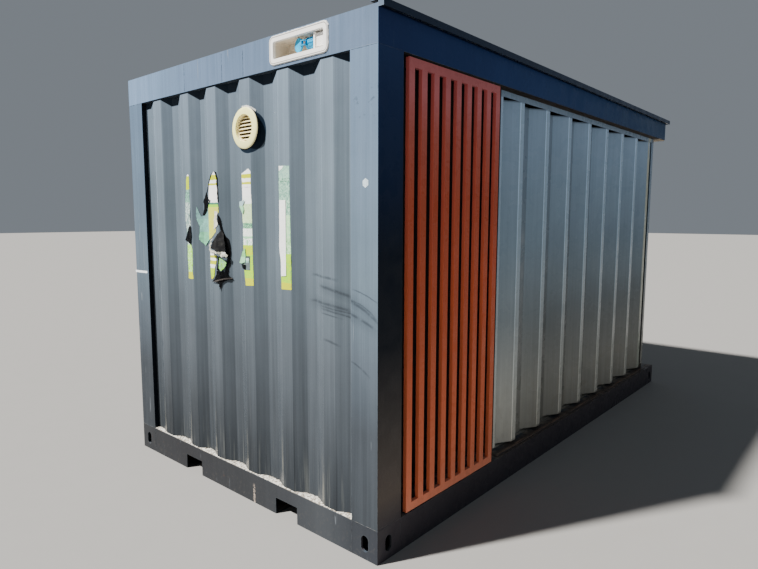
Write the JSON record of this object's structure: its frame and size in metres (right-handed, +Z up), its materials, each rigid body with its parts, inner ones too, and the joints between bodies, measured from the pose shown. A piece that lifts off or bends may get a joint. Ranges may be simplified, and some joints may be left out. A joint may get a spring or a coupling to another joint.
{
  "type": "shipping container cabin",
  "caption": "Steel container cabin with pressed sheet walls, slatted orange screen, folded grey front cover, round vent and power inlet.",
  "frame": {"origin": "on the ground, in the middle of the whole outline", "axes": "+X along the length from the end with the vent, +Y from the screened front to the back, +Z up"},
  "size_m": [4.048, 2.17, 2.454],
  "materials": {
    "frame_steel": "satin dark anthracite paint, dusty",
    "roof_steel": "satin dark anthracite paint, weathered",
    "wall_steel": "satin anthracite paint on pressed sheet",
    "cover_steel": "satin slate grey paint",
    "screen_paint": "matt orange-red powder coat",
    "soffit_board": "brown weathered board",
    "floor_board": "plain sealed plywood",
    "vent_plastic": "aged cream plastic",
    "inlet_white": "off-white moulded plastic",
    "inlet_blue": "light blue moulded plastic",
    "contact_metal": "plain contact pins"
  },
  "bodies": {
    "cabin": {"base_beam_left": "frame_steel", "base_beam_right": "frame_steel", "base_beam_front": "frame_steel", "base_beam_back": "frame_steel", "corner_block_front_left": "frame_steel", "corner_block_front_right": "frame_steel", "corner_block_back_left": "frame_steel", "corner_block_back_right": "frame_steel", "post_front_left": "frame_steel", "post_front_right": "frame_steel", "post_back_left": "frame_steel", "post_back_right": "frame_steel", "floor_joists": "frame_steel", "top_beam_left": "frame_steel", "top_beam_right": "frame_steel", "top_beam_front": "frame_steel", "top_beam_back": "frame_steel", "roof_bows": "frame_steel", "niche_wall": "frame_steel", "screen_brackets": "frame_steel", "ledge_strip": "frame_steel", "roof_edge_front": "roof_steel", "roof_edge_back": "roof_steel", "roof_edge_right": "roof_steel", "roof_sheet": "roof_steel", "left_end_wall": "wall_steel", "right_end_wall": "wall_steel", "back_wall": "wall_steel", "front_cover": "cover_steel", "cover_top_rail": "cover_steel", "cover_foot_rail": "cover_steel", "cover_left_stile": "cover_steel", "cover_end_stile": "cover_steel", "screen_frame": "screen_paint", "screen_bars": "screen_paint", "soffit": "soffit_board", "floor_boards": "floor_board", "vent_ring": "vent_plastic", "vent_louvres": "vent_plastic", "inlet_housing": "inlet_white", "inlet_socket": "inlet_white", "inlet_collar": "inlet_blue", "inlet_pins": "contact_metal"},
    "lid": {"inlet_lid": "inlet_blue"}
  },
  "joints": [
    {"name": "inlet_lid_hinge", "type": "hinge", "parent": "cabin", "child": "lid", "pos_m": [-2.015, -0.583, 2.367], "axis": [0, 0, 1], "range_deg": [-79, 21]}
  ]
}
